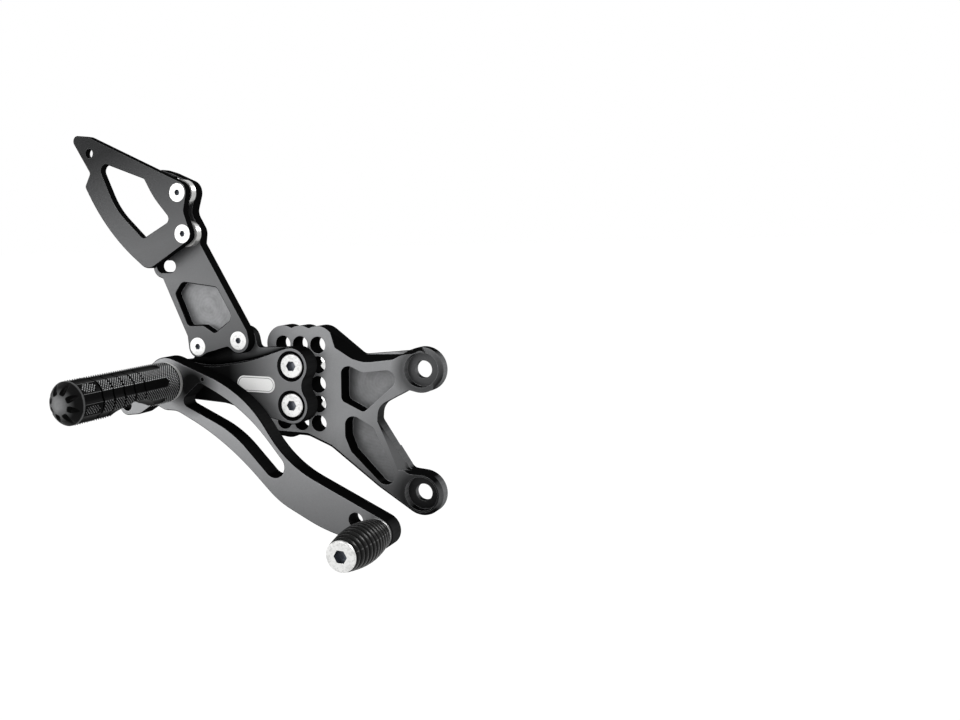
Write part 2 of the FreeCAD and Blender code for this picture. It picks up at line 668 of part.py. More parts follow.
def make_footpeg_barrel():
    """Turned peg with ring grooves, ball-ended flutes and a scoop under its middle."""
    body = new_body("footpeg_barrel")
    bolt, edge = d.main_thread / 2, d.edge_break
    wall = [(d.peg_radius - edge, 0), (d.peg_radius, -edge)]
    for ring in range(PEG_RINGS):
        level = -d.base_land - ring * d.ring_pitch
        wall += [(d.peg_radius, level + d.ring_wide / 2),
                 (d.peg_radius - d.ring_deep, level + d.ring_floor / 2),
                 (d.peg_radius - d.ring_deep, level - d.ring_floor / 2),
                 (d.peg_radius, level - d.ring_wide / 2)]
    wall += [(d.peg_radius, -d.barrel_long), (d.cap_spigot / 2, -d.barrel_long),
             (d.cap_spigot / 2, d.cap_spigot_long - d.barrel_long),
             (0, d.cap_spigot_long - d.barrel_long), (0, -d.base_land), (bolt, -d.base_land),
             (bolt, 0)]
    spin(body, wall[::-1])
    half = d.flute_wide / 2
    flute = new_sketch(body, "(d.peg_radius - d.flute_deep) * cos(d.peg_turn)", "YZ_Plane")
    flute.AttachmentOffset.Rotation = FreeCAD.Rotation(FreeCAD.Vector(1, 0, 0), -d.peg_turn)
    bind(flute, "AttachmentOffset.Base.y", "(d.peg_radius - d.flute_deep) * sin(d.peg_turn)")
    outline(flute, [(-d.flute_start - half, 0, half, 1), (-d.barrel_long - half, 0, half, 1)])
    ring_pattern(body, pocket(flute, "2 * d.flute_deep", away=True), PEG_FLUTES)
    scoop = new_sketch(body, "d.peg_radius + d.end_float", "YZ_Plane")
    circle(scoop, "-d.scoop_middle", "-(d.peg_radius - d.scoop_deep + d.scoop_radius)",
           "2 * d.scoop_radius")
    pocket(scoop, "2 * (d.peg_radius + d.end_float)")
    stand(body, PIVOT_X, PEG_FOOT, PIVOT_Z)


def make_footpeg_end_cap():
    """Domed cap on the end of the peg, fluted all round."""
    body = new_body("footpeg_end_cap")
    spigot = d.cap_spigot / 2
    end = -d.cap_rim - d.cap_dome
    spin(body, [(0, end), (d.cap_crown, end, d.cap_dome / 2),
                (d.peg_radius, -2 * d.cap_rim, d.cap_rim / 2),
                (d.peg_radius, 0), (spigot, 0), (spigot, d.cap_spigot_long),
                (0, d.cap_spigot_long)])
    flute = new_sketch(body, "d.cap_rim + d.cap_dome")
    outline(flute, [(d.cap_flute_ring, 0, d.cap_flute, 1),
                    (d.cap_flute_ring / 2, 0, d.cap_flute_root, 1)])
    cut = pocket(flute, "d.cap_dome / 2")
    ring_pattern(body, cut, CAP_FLUTES)
    stand(body, PIVOT_X, PEG_END, PIVOT_Z)


def make_toe_peg_core():
    """Silver toe peg: stud, collar, shank and an end flange with a hexagon socket."""
    body = new_body("toe_peg_core")
    stud, collar = d.toe_thread / 2, d.core_flange
    spin(body, [(0, d.toe_stud), (0, -d.toe_long), (collar - d.edge_break, -d.toe_long),
                (collar, d.edge_break - d.toe_long), (collar, d.core_flange_thick - d.toe_long),
                (d.core_shank, d.core_flange_thick - d.toe_long),
                (d.core_shank, -d.core_collar), (collar, -d.core_collar), (collar, 0),
                (stud, 0), (stud, d.toe_stud)])
    socket = new_sketch(body, "d.toe_long")
    hexagon(socket, d.core_hex)
    pocket(socket, "d.core_hex_deep")
    stand(body, "d.toe_x", PEDAL_FACE, "d.toe_z")


def make_toe_peg_rubber():
    """Ribbed rubber sleeve, fuller in the middle."""
    body = new_body("toe_peg_rubber")
    start, finish = -d.core_collar, d.core_flange_thick - d.toe_long
    pitch = (finish - start) / RUBBER_RIBS
    wall = []
    for rib in range(RUBBER_RIBS):
        for part, dip in ((0.0, d.rib_deep), (0.25, 0.0), (0.75, 0.0), (1.0, d.rib_deep)):
            share = (rib + part) / RUBBER_RIBS
            swell = math.sin(math.pi * share) * (d.rubber_middle - d.rubber_end)
            if part < 1.0 or rib == RUBBER_RIBS - 1:
                wall.append((d.rubber_end + swell - dip, start + (rib + part) * pitch))
    spin(body, [(d.core_shank, start), (d.core_shank, finish), *wall[::-1]])
    stand(body, "d.toe_x", PEDAL_FACE, "d.toe_z")


make_adapter_plate()
make_peg_bracket()
for place, z in BOLT_Z.items():
    make_cap_screw("main_bolt_" + place, BOLT_X, z,
                   BRACKET_FACE + " - d.main_head_high - d.head_sink", d.main_long, False)
    make_nut("main_nut_" + place, z)
make_guard_stay()
make_flat_screw("stay_screw_front", "d.stay_front_x", "d.stay_front_z", STAY_FACE,
                d.stay_screw_long)
make_flat_screw("stay_screw_rear", "d.stay_rear_x", "d.stay_rear_z", STAY_FACE,
                d.stay_screw_long)
make_heel_guard()
for place in ("upper", "lower"):
    key = "top" if place == "upper" else "low"
    x, z = f"d.guard_{key}_x", f"d.guard_{key}_z"
    make_flat_screw("guard_screw_" + place, x, z, GUARD_FACE, d.guard_screw_long)
    make_ring("guard_spacer_" + place, x, z, STAY_FACE, "2 * d.stay_lobe", "d.small_pass",
              "d.spacer_long")
make_brake_pedal()
BUSH_HOLE = "d.sleeve_outer + 2 * d.run_gap"
make_ring("pedal_bush_inner", PIVOT_X, PIVOT_Z, PEDAL_BACK, "d.bush_outer", BUSH_HOLE,
          "d.pedal_thick / 2")
make_ring("pedal_bush_outer", PIVOT_X, PIVOT_Z, PEDAL_BACK + " + d.pedal_thick / 2",
          "d.bush_outer", BUSH_HOLE, "d.pedal_thick / 2")
make_ring("pivot_sleeve", PIVOT_X, PIVOT_Z, BRACKET_FACE, "d.sleeve_outer", "d.main_pass",
          "d.pedal_gap + d.pedal_thick + d.end_float")
make_ring("thrust_washer", PIVOT_X, PIVOT_Z, BRACKET_FACE, "d.thrust_outer", BUSH_HOLE,
          "d.pedal_gap")
make_ring("peg_washer", PIVOT_X, PIVOT_Z, WASHER_BACK, "2 * d.peg_radius", "d.main_pass",
          "d.peg_washer_thick")
make_cap_screw("peg_bolt", PIVOT_X, PIVOT_Z, ARM_BACK + " + d.main_head_high + d.head_sink",
               d.peg_bolt_long, True)
make_footpeg_barrel()
make_footpeg_end_cap()
make_toe_peg_core()
make_toe_peg_rubber()

doc.recompute()
for thing in doc.Objects:
    trouble = [word for word in thing.State if word in ("Invalid", "Error")]
    if trouble:
        raise RuntimeError(f"{thing.Name} is in state {trouble}")
os.makedirs("parts", exist_ok=True)
for body in sub_parts:
    shape = body.Shape
    if shape.isNull() or not shape.isValid():
        raise RuntimeError(f"{body.Name} has no sound shape")
    shape.exportStep(f"parts/{body.Name}.step")
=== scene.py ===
"""Brake-side rear set of a motorbike, dressed for a studio photograph.

The machined plates, screws and washers are the CAD frame's own nodes with better finishes, with
painted sheen, shade and highlights on the plates and painted shade in the screws' sockets.
The knurled footpeg, its fluted cap, the ribbed rubber of the toe peg and the bare name plate
are surfaces worked out here with numpy. The axes are the frame's: +X forward on the bike, +Y into
the bike's frame and +Z up. Pieces made here are measured in millimetres and turned into metres by
MM. Materials, lamps and the floor are in metres.
"""

from __future__ import annotations

import logging
import math
from dataclasses import dataclass
from enum import Enum
from typing import Any

import bmesh
import bpy
import numpy as np
from mathutils import Matrix, Vector

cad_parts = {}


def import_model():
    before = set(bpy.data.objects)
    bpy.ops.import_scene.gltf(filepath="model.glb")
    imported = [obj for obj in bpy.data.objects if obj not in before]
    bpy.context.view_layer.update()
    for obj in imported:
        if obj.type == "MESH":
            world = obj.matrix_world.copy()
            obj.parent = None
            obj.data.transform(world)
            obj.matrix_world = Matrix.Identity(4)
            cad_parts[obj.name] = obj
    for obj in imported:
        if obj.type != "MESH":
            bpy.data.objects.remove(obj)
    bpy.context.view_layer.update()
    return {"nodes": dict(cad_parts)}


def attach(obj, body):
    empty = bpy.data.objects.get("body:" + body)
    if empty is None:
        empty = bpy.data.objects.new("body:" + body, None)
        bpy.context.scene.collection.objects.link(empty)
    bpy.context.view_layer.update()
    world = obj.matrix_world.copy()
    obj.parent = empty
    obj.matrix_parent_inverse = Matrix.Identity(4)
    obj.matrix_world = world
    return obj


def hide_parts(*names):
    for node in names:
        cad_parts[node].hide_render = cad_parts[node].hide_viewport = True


LOG = logging.getLogger("rear_set")
MM = 0.001
STAND = "stand"
PEDAL = "pedal"
Colour = tuple[float, float, float]
Span = tuple[float, float]
BLACK: Colour = (0.0, 0.0, 0.0)
WHITE: Colour = (1.0, 1.0, 1.0)
PIVOT = (-139.0, 22.8)
TOE = (-12.4, -47.2)


class Slot(Enum):
    """The record's material slots that the pieces made here belong to."""

    PEG = "black_peg"
    TURNED = "bright_aluminium"
    RUBBER = "black_rubber"


@dataclass(frozen=True)
class Speckle:
    """Soft noise: its blots per metre and how many finer layers it has."""

    scale: float
    detail: float = 2.0


class Value:
    """A shader socket that can be used in sums."""

    def __init__(self, paint: "Paint", socket: bpy.types.NodeSocket) -> None:
        """Wraps a socket.

        Args:
            paint: The material that the socket belongs to.
            socket: The output socket.
        """
        self.paint = paint
        self.socket = socket

    def _sum(self, operation: str, *terms: Any) -> "Value":
        """Adds a Math node for an operation on this and other terms."""
        return self.paint.math(operation, *terms)

    def __add__(self, other: Any) -> "Value":
        """This plus other."""
        return self._sum("ADD", self, other)

    def __sub__(self, other: Any) -> "Value":
        """This minus other."""
        return self._sum("SUBTRACT", self, other)

    def __rsub__(self, other: Any) -> "Value":
        """Other minus this."""
        return self._sum("SUBTRACT", other, self)

    def __mul__(self, other: Any) -> "Value":
        """This times other."""
        return self._sum("MULTIPLY", self, other)

    __radd__ = __add__
    __rmul__ = __mul__

    def __abs__(self) -> "Value":
        """The size of this."""
        return self._sum("ABSOLUTE", self)

    def below(self, limit: float) -> "Value":
        """One where this is under a limit, zero elsewhere."""
        return self._sum("LESS_THAN", self, limit)

    def above(self, limit: float) -> "Value":
        """One where this is over a limit, zero elsewhere."""
        return self._sum("GREATER_THAN", self, limit)

    def kept(self, low: float, high: float) -> "Value":
        """This, kept between two limits."""
        return self._sum("MINIMUM", self._sum("MAXIMUM", self, low), high)


def distance(across: Value, rise: Value) -> Value:
    """Length of the line with these two sides."""
    return across.paint.math("SQRT", across * across + rise * rise)


def mottled(shares: tuple[float, float, float], first: Value, second: Value) -> Value:
    """A steady part plus shares of two patterns."""
    steady, one, other = shares
    return steady + one * first + other * second


class Paint:
    """A node material under construction."""

    def __init__(self, name: str) -> None:
        """Starts a material with one Principled shader.

        Args:
            name: Name of the material.
        """
        self.material = bpy.data.materials.new(name)
        self.material.use_nodes = True
        self.tree = self.material.node_tree
        self.shader = self.tree.nodes["Principled BSDF"]

    def node(self, kind: str, settings: dict[str, Any] | None = None,
             sockets: dict[Any, Any] | None = None) -> bpy.types.Node:
        """Adds a node.

        Args:
            kind: Blender's name of the node type.
            settings: Properties, set before the sockets.
            sockets: Values or links by the socket's name or number.

        Returns:
            The node.
        """
        made = self.tree.nodes.new(kind)
        for key, setting in (settings or {}).items():
            setattr(made, key, setting)
        for key, given in (sockets or {}).items():
            self.feed(made.inputs[key], given)
        return made

    def feed(self, socket: bpy.types.NodeSocket, given: Any) -> None:
        """Links a value to a socket, or writes a number or colour on it."""
        if isinstance(given, Value):
            self.tree.links.new(given.socket, socket)
        elif isinstance(given, tuple) and socket.type == "RGBA":
            socket.default_value = (*given[:3], 1.0)
        else:
            socket.default_value = given

    def math(self, operation: str, *terms: Any) -> Value:
        """Adds a Math node on two or three terms."""
        made = self.node("ShaderNodeMath", {"operation": operation},
                         dict(enumerate(terms)))
        return Value(self, made.outputs[0])

    def place(self, centre: Span = (0.0, 0.0)) -> Value:
        """Object coordinates counted from a centre in X and Z."""
        place = Value(self, self.node("ShaderNodeTexCoord").outputs["Object"])
        moved = self.node("ShaderNodeVectorMath", {"operation": "SUBTRACT"},
                          {0: place, 1: (centre[0], 0.0, centre[1])})
        return Value(self, moved.outputs[0])

    def facing(self) -> Value:
        """The way that a surface faces, in the object's own axes."""
        return Value(self, self.node("ShaderNodeTexCoord").outputs["Normal"])

    def drawn(self, name: str) -> Value:
        """A number that the piece's mesh keeps at each point."""
        made = self.node("ShaderNodeAttribute", {"attribute_name": name})
        return Value(self, made.outputs["Fac"])

    def axes(self, place: Value) -> tuple[Value, Value, Value]:
        """The three coordinates of a place."""
        made = self.node("ShaderNodeSeparateXYZ", None, {0: place})
        return tuple(Value(self, made.outputs[axis]) for axis in range(3))

    def noise(self, place: Value, speckle: Speckle) -> Value:
        """Soft noise from 0 to 1."""
        made = self.node("ShaderNodeTexNoise", None,
                         {"Vector": place, "Scale": speckle.scale, "Detail": speckle.detail})
        return Value(self, made.outputs[0])

    def ramp(self, amount: Value, low: float, high: float) -> Value:
        """Rises from 0 to 1 as the amount goes from low to high."""
        made = self.node("ShaderNodeMapRange", {"clamp": True},
                         {"Value": amount, "From Min": low, "From Max": high})
        return Value(self, made.outputs[0])

    def mix(self, share: Any, low: Any, high: Any) -> Value:
        """Colour between low and high."""
        made = self.node("ShaderNodeMix", {"data_type": "RGBA"},
                         {"Factor": share, "A": low, "B": high})
        return Value(self, made.outputs[2])

    def stretch(self, place: Value, scale: tuple[float, float, float]) -> Value:
        """Places scaled by different amounts along the axes."""
        made = self.node("ShaderNodeVectorMath", {"operation": "MULTIPLY"},
                         {0: place, 1: scale})
        return Value(self, made.outputs[0])

    def bump(self, height: Value, depth: float, below: Value | None = None) -> Value:
        """Normal of a height field, over another normal if one is given.

        Args:
            height: The field, from 0 to 1.
            depth: How deep 1 is, in metres.
            below: The normal underneath.

        Returns:
            The new normal.
        """
        sockets = {"Height": height, "Distance": depth, "Strength": 1.0}
        if below is not None:
            sockets["Normal"] = below
        return Value(self, self.node("ShaderNodeBump", None, sockets).outputs[0])

    def soft_edges(self, radius: float) -> Value:
        """Normal that rounds the sharp edges of a plate."""
        made = self.node("ShaderNodeBevel", {"samples": 4}, {"Radius": radius})
        return Value(self, made.outputs[0])

    def turned_from(self, normal: Value) -> Value:
        """How far a normal is turned from the true one, as one minus their dot product."""
        true = Value(self, self.node("ShaderNodeNewGeometry").outputs["Normal"])
        dot = self.node("ShaderNodeVectorMath", {"operation": "DOT_PRODUCT"},
                        {0: true, 1: normal})
        return 1.0 - Value(self, dot.outputs["Value"])

    def finish(self, **sockets: Any) -> bpy.types.Material:
        """Feeds the shader by socket name, with spaces for underscores."""
        for key, given in sockets.items():
            self.feed(self.shader.inputs[key.replace("_", " ")], given)
        return self.material


@dataclass(frozen=True)
class PaintedShade:
    """Painted shade: a round place where a face is painted darker, from its inner radius out to
    its outer one.
    """

    x: float
    z: float
    inner: float
    outer: float
    kept: float


@dataclass(frozen=True)
class PaintedSheen:
    """Painted sheen of a machined face: the grey that stands in for the satin reflection of the
    lights, as a tilted plane over X and Z, folded at its centre's height.

    level is the grey at the centre, along_x and along_z are its slopes, and fold is the slope of
    the fall above and below the centre, all per metre. The grey stays between low and high, and
    each patch of painted shade keeps only a share of it.
    """

    level: float
    centre: tuple[float, float] = (0.0, 0.0)
    along_x: float = 0.0
    along_z: float = 0.0
    fold: float = 0.0
    low: float = 0.03
    high: float = 0.3
    shade_patches: tuple[PaintedShade, ...] = ()

    def over(self, across: Value, rise: Value) -> Value:
        """The painted sheen's grey at places with these X and Z."""
        east = across - self.centre[0]
        north = rise - self.centre[1]
        grey = self.level + self.along_x * east + self.along_z * north
        grey = (grey - self.fold * abs(north)).kept(self.low, self.high)
        # Each patch of painted shade darkens the sheen round its middle.
        for place in self.shade_patches:
            away = distance(across - place.x, rise - place.z)
            clear = across.paint.ramp(away, place.inner, place.outer)
            grey = grey * (place.kept + (1.0 - place.kept) * clear)
        return grey


@dataclass(frozen=True)
class StepShade:
    """Painted shade on the lower part of a stepped face, black along the foot of the step.

    The step's foot runs over X as foot + slope * along + bow * along squared, with along counted
    from start. The face is painted black as shade up to dark above it, and clear from clear
    upwards.
    """

    level: float
    start: float
    foot: float
    slope: float
    bow: float
    dark: float
    clear: float

    def over(self, across: Value, depth: Value, rise: Value) -> Value:
        """The share of its grey that the face keeps under the painted shade."""
        along = across - self.start
        above = rise - (self.foot + self.slope * along + self.bow * (along * along))
        lower = (self.level - depth).below(0.0)
        return 1.0 - lower * (1.0 - across.paint.ramp(above, self.dark, self.clear))


@dataclass(frozen=True)
class Anodised:
    """Black anodised plate: satin machined faces painted grey with sheen, between cut walls that
    stay nearly black.

    floor_y is the level of milled pocket floors, floor their painted grey and cutter the middle
    of the cutter's rings in them. The grey of faces and floors is painted sheen that stands in
    for the lights' reflection, so faces are painted paler than walls by the way they face. side
    is painted light added to walls that face forwards, ahead of side_from, and wall the grey of
    every wall. Edges are rounded over edge, and faces are painted paler along them by a given
    share, as a painted highlight. A surface counts as a face, as a wall that faces forwards or as
    an edge once it is turned past the first number of its span, and fully so at the second.
    """

    name: str
    sheen: PaintedSheen
    floor_y: float = 0.0
    floor: float = 0.0
    cutter: tuple[float, float] = (0.0, 0.0)
    side: float = 0.0
    side_from: float = -1.0
    step_shade: StepShade | None = None
    wall: float = 0.005
    roughness: float = 0.42
    edge: float = 0.00045
    edge_highlight: float = 0.14
    metal: float = 0.6
    tint: Colour = (0.97, 0.98, 1.0)
    face_turn: Span = (0.8, 0.96)
    ahead_turn: Span = (0.55, 0.95)
    edge_turn: Span = (0.01, 0.12)
    side_blend: Span = (-0.003, 0.003)
    floor_near: float = 0.0003
    ring_rate: float = 3500.0
    ring_waver: float = 9.0
    wavering: Speckle = Speckle(130.0, 3.0)
    blots: Speckle = Speckle(260.0, 4.0)
    clouds: Speckle = Speckle(55.0, 3.0)
    grains: Speckle = Speckle(1700.0)
    tool_marks: Speckle = Speckle(800.0, 3.0)
    floor_shares: tuple[float, float, float] = (0.72, 0.03, 0.56)
    face_shares: tuple[float, float, float] = (0.84, 0.12, 0.2)
    mark_stretch: tuple[float, float, float] = (1.0, 0.04, 1.0)
    mark_steady: float = 0.55
    mark_share: float = 0.9
    grain_deep: float = 0.000006
    grain_rough: float = 0.08

    def make(self) -> bpy.types.Material:
        """Builds the material."""
        paint = Paint(self.name)
        place = paint.place()
        across, depth, rise = paint.axes(place)
        ahead, out, _ = paint.axes(paint.facing())
        # Faces take the painted sheen and walls stay nearly black, by the way each surface faces:
        # painted light and shade.
        face = paint.ramp(abs(out), *self.face_turn)
        grain = paint.noise(place, self.grains)
        cloud = paint.noise(place, self.clouds)
        grey = self.sheen.over(across, rise)
        if self.step_shade:
            grey = grey * self.step_shade.over(across, depth, rise)
        # Pocket floors take their own painted sheen grey, with the cutter's rings in it.
        if self.floor:
            milled = abs(depth - self.floor_y).below(self.floor_near)
            away = distance(across - self.cutter[0], rise - self.cutter[1])
            waver = self.ring_waver * paint.noise(place, self.wavering)
            swirl = paint.math("SINE", away * self.ring_rate + waver)
            blot = paint.noise(place, self.blots)
            grey = grey + milled * (self.floor * mottled(self.floor_shares, swirl, blot) - grey)
        grey = grey * mottled(self.face_shares, cloud, grain)
        # Painted light on walls that face forwards, broken up by tool marks.
        marks = paint.noise(paint.stretch(place, self.mark_stretch), self.tool_marks)
        lit = paint.ramp(ahead, *self.ahead_turn)
        lit = lit * paint.ramp(across - self.side_from, *self.side_blend)
        wall = self.wall + self.side * lit * (self.mark_steady + self.mark_share * marks)
        # Painted highlight: faces are painted paler along their rounded edges.
        edges = paint.soft_edges(self.edge)
        edge_glint_mask = paint.ramp(paint.turned_from(edges), *self.edge_turn)
        shade = wall + face * (grey + self.edge_highlight * edge_glint_mask - wall)
        colour = paint.mix(shade, BLACK, self.tint)
        normal = paint.bump(grain, self.grain_deep, edges)
        return paint.finish(Base_Color=colour, Metallic=face * self.metal, Normal=normal,
                            Roughness=self.roughness + self.grain_rough * (grain - 0.5),
                            Specular_IOR_Level=0.0)


@dataclass(frozen=True)
class TurnedMetal:
    """Bright metal with fine rings left by the lathe round an axis along Y.

    face_y is the level of a head's face and socket the radius round its hexagon, which is painted
    dark, as shade in the recess, from its lip beneath that face down to its depth. Round it runs
    a worn ring, whose middle and half width are shares of that radius.
    """

    name: str
    centre: tuple[float, float] = (0.0, 0.0)
    colour: Colour = (0.79, 0.79, 0.78)
    metal: float = 1.0
    roughness: float = 0.3
    rings: float = 2600.0
    face_y: float = 0.0
    socket: float = 0.0
    socket_deep: float = 0.007
    socket_lip: float = 0.00005
    socket_shade: Colour = (0.15, 0.16, 0.18)
    worn_middle: float = 1.55
    worn_half: float = 0.3
    worn_span: Span = (0.5, 0.6)
    worn_share: float = 0.8
    stain_span: Span = (0.45, 0.75)
    stain_dark: float = 0.8
    smear_rough: float = 0.1
    ring_rough: float = 0.04
    smears: Speckle = Speckle(900.0, 3.0)
    edge: float = 0.0002
    ring_deep: float = 0.000005

    def make(self) -> bpy.types.Material:
        """Builds the material."""
        paint = Paint(self.name)
        place = paint.place(self.centre)
        across, depth, rise = paint.axes(place)
        radius = distance(across, rise)
        ring = paint.math("SINE", radius * (self.rings * 2 * math.pi)) * 0.5 + 0.5
        smear = paint.noise(place, self.smears)
        rough = self.roughness + self.smear_rough * (smear - 0.5) + self.ring_rough * ring
        darker = tuple(self.stain_dark * part for part in self.colour)
        stain = paint.ramp(smear, *self.stain_span)
        if self.socket:
            off_ring = abs(radius - self.worn_middle * self.socket)
            worn = off_ring.below(self.worn_half * self.socket)
            stain = stain + worn * paint.ramp(smear, *self.worn_span) * self.worn_share
        colour = paint.mix(stain, self.colour, darker)
        # Painted shade in the socket's recess.
        if self.socket:
            inward = depth - self.face_y
            sunk = inward.above(self.socket_lip) * inward.below(self.socket_deep)
            sunk = sunk * radius.below(self.socket)
            colour = paint.mix(sunk, colour, self.socket_shade)
        normal = paint.bump(ring, self.ring_deep, paint.soft_edges(self.edge))
        return paint.finish(Base_Color=colour, Metallic=self.metal, Roughness=rough,
                            Normal=normal)


@dataclass(frozen=True)
class GlintedBlack:
    """Deep black anodising whose crests are worn pale, as on a knurled peg.

    The mesh keeps at each point, as crest, how far it stands out: 0 at the foot of a groove,
    plain on a smooth turned surface and 1 on the tip of a tooth. Grooves are painted black as
    shade and crests are painted pale as glints of the lights. The glints are palest at the
    heights between the middle two of lit, on the side where the light falls, and keep only a
    share beyond the outer two.
    """

    name: str
    pale: float
    plain: float
    dark: float = 0.007
    roughness: float = 0.3
    gloss: float = 0.005
    kept: float = 1.0
    lit: tuple[float, float, float, float] = (-2.0, -1.0, 1.0, 2.0)
    worn_span: Span = (0.4, 0.8)
    smears: Speckle = Speckle(300.0, 3.0)
    smear_steady: float = 0.7
    smear_share: float = 0.6
    smear_rough: float = 0.06
    grains: Speckle = Speckle(3500.0)
    grain_deep: float = 0.000005
    tint: Colour = (0.98, 0.99, 1.0)

    def make(self) -> bpy.types.Material:
        """Builds the material."""
        paint = Paint(self.name)
        place = paint.place()
        crest = paint.drawn("crest")
        # Painted glints on the crests.
        worn = paint.ramp(crest, *self.worn_span)
        smear = paint.noise(place, self.smears)
        # Painted shade: black at the foot of grooves and valleys.
        shade = self.dark * paint.ramp(crest, 0.0, self.plain)
        _, _, rise = paint.axes(place)
        # The glints are full only on the side of the peg where the light falls.
        low, full, still, high = self.lit
        inside = paint.ramp(rise, low, full) * (1.0 - paint.ramp(rise, still, high))
        worn = worn * (self.kept + (1.0 - self.kept) * inside)
        shade = shade + self.pale * worn * (self.smear_steady + self.smear_share * smear)
        colour = paint.mix(shade, BLACK, self.tint)
        grain = paint.noise(place, self.grains)
        return paint.finish(Base_Color=colour, Normal=paint.bump(grain, self.grain_deep),
                            Roughness=self.roughness + self.smear_rough * smear,
                            Specular_IOR_Level=self.gloss)


@dataclass(frozen=True)
class MouldedRubber:
    """Black moulded rubber with a slight bloom on its ribs, painted shade between them and a
    painted highlight along the mould's seam.

    The mesh keeps at each point, as crest, how far it stands out: 0 between two ribs, plain on a
    rib and 1 on the line where the halves of the mould met. Up to foot it is painted black as
    shade, and the seam is painted pale as a highlight.
    """

    name: str
    plain: float
    dark: float = 0.008
    seam_and_glint: float = 0.2
    foot: float = 0.1
    gloss: float = 0.09
    bloom_span: Span = (0.4, 0.75)
    blooms: Speckle = Speckle(180.0, 4.0)
    bloom_steady: float = 0.75
    bloom_share: float = 0.6
    roughness: float = 0.26
    bloom_rough: float = 0.14
    grains: Speckle = Speckle(4000.0)
    grain_deep: float = 0.000012

    def make(self) -> bpy.types.Material:
        """Builds the material."""
        paint = Paint(self.name)
        place = paint.place()
        crest = paint.drawn("crest")
        bloom = paint.ramp(paint.noise(place, self.blooms), *self.bloom_span)
        grain = paint.noise(place, self.grains)
        bloomed = self.bloom_steady + self.bloom_share * bloom
        # Painted shade between the ribs, and a painted highlight on the seam.
        shade = self.dark * paint.ramp(crest, self.foot, self.plain) * bloomed
        shade = shade + self.seam_and_glint * paint.ramp(crest, self.plain + self.foot, 1.0)
        colour = paint.mix(shade, BLACK, WHITE)
        return paint.finish(Base_Color=colour, Normal=paint.bump(grain, self.grain_deep),
                            Roughness=self.roughness + self.bloom_rough * bloom,
                            Specular_IOR_Level=self.gloss)


@dataclass(frozen=True)
class Enamel:
    """White enamel of the bare name plate, with a thin grey line inside its rim."""

    name: str
    centre: Span
    half: float
    radius: float
    line_in: float = 0.9 * MM
    line_half: float = 0.16 * MM
    line_colour: Colour = (0.16, 0.16, 0.17)
    fresh: Colour = (0.93, 0.93, 0.92)
    faded: Colour = (0.76, 0.76, 0.74)
    fade: float = 0.3
    wear_span: Span = (0.55, 0.8)
    wears: Speckle = Speckle(900.0, 3.0)
    roughness: float = 0.3
    wear_rough: float = 0.1

    def make(self) -> bpy.types.Material:
        """Builds the material."""
        paint = Paint(self.name)
        across, _, rise = paint.axes(paint.place(self.centre))
        beyond = paint.math("MAXIMUM", abs(across) - self.half, 0.0)
        reach = distance(beyond, rise)
        line = abs(reach - (self.radius - self.line_in)).below(self.line_half)
        wear = paint.ramp(paint.noise(paint.place(), self.wears), *self.wear_span)
        white = paint.mix(wear * self.fade, self.fresh, self.faded)
        colour = paint.mix(line, white, self.line_colour)
        return paint.finish(Base_Color=colour,
                            Roughness=self.roughness + self.wear_rough * wear)


def new_piece(name: str, points: np.ndarray, wrap_rows: bool = False,
              crest: np.ndarray | None = None) -> bpy.types.Object:
    """Makes a piece from a grid of points whose columns close into a ring.

    Args:
        name: Name of the piece.
        points: Array of rows by columns by 3, in metres.
        wrap_rows: Whether the last row joins the first, as on a tube with a wall.
        crest: A number from 0 to 1 at each point, kept for the material.

    Returns:
        The object, with doubled points merged and its faces pointing outwards.
    """
    rows, columns, _ = points.shape
    index = np.arange(rows * columns).reshape(rows, columns)
    if wrap_rows:
        index = np.vstack([index, index[:1]])
    beside = np.roll(index, -1, axis=1)
    quads = np.stack([index[:-1], beside[:-1], beside[1:], index[1:]], axis=-1)
    mesh = bpy.data.meshes.new(name)
    mesh.from_pydata(points.reshape(-1, 3), [], quads.reshape(-1, 4))
    if crest is not None:
        kept = mesh.attributes.new("crest", "FLOAT", "POINT")
        kept.data.foreach_set("value", crest.astype(np.float32).ravel())
    work = bmesh.new()
    work.from_mesh(mesh)
    bmesh.ops.remove_doubles(work, verts=work.verts, dist=1e-7)
    bmesh.ops.recalc_face_normals(work, faces=work.faces)
    work.to_mesh(mesh)
    work.free()
    piece = bpy.data.objects.new(name, mesh)
    bpy.context.scene.collection.objects.link(piece)
    LOG.info("%s: %d faces", name, len(mesh.polygons))
    return piece


def settle(piece: bpy.types.Object, material: bpy.types.Material, body: str, slot: Slot,
           *nodes: str) -> None:
    """Gives a piece its material and body, and hides the nodes that it stands for.

    Args:
        piece: The piece.
        material: Its material.
        body: Name of the body that it rides on.
        slot: The record's slot that the finish belongs to. Not used.
        nodes: CAD nodes that the piece replaces.
    """
    piece.data.materials.append(material)
    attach(piece, body)
    if nodes:
        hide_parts(*nodes)


def wave(phase: np.ndarray) -> np.ndarray:
    """Triangle wave: 0 at whole numbers, 1 half way between them."""
    return 1.0 - 2.0 * np.abs((phase % 1.0) - 0.5)


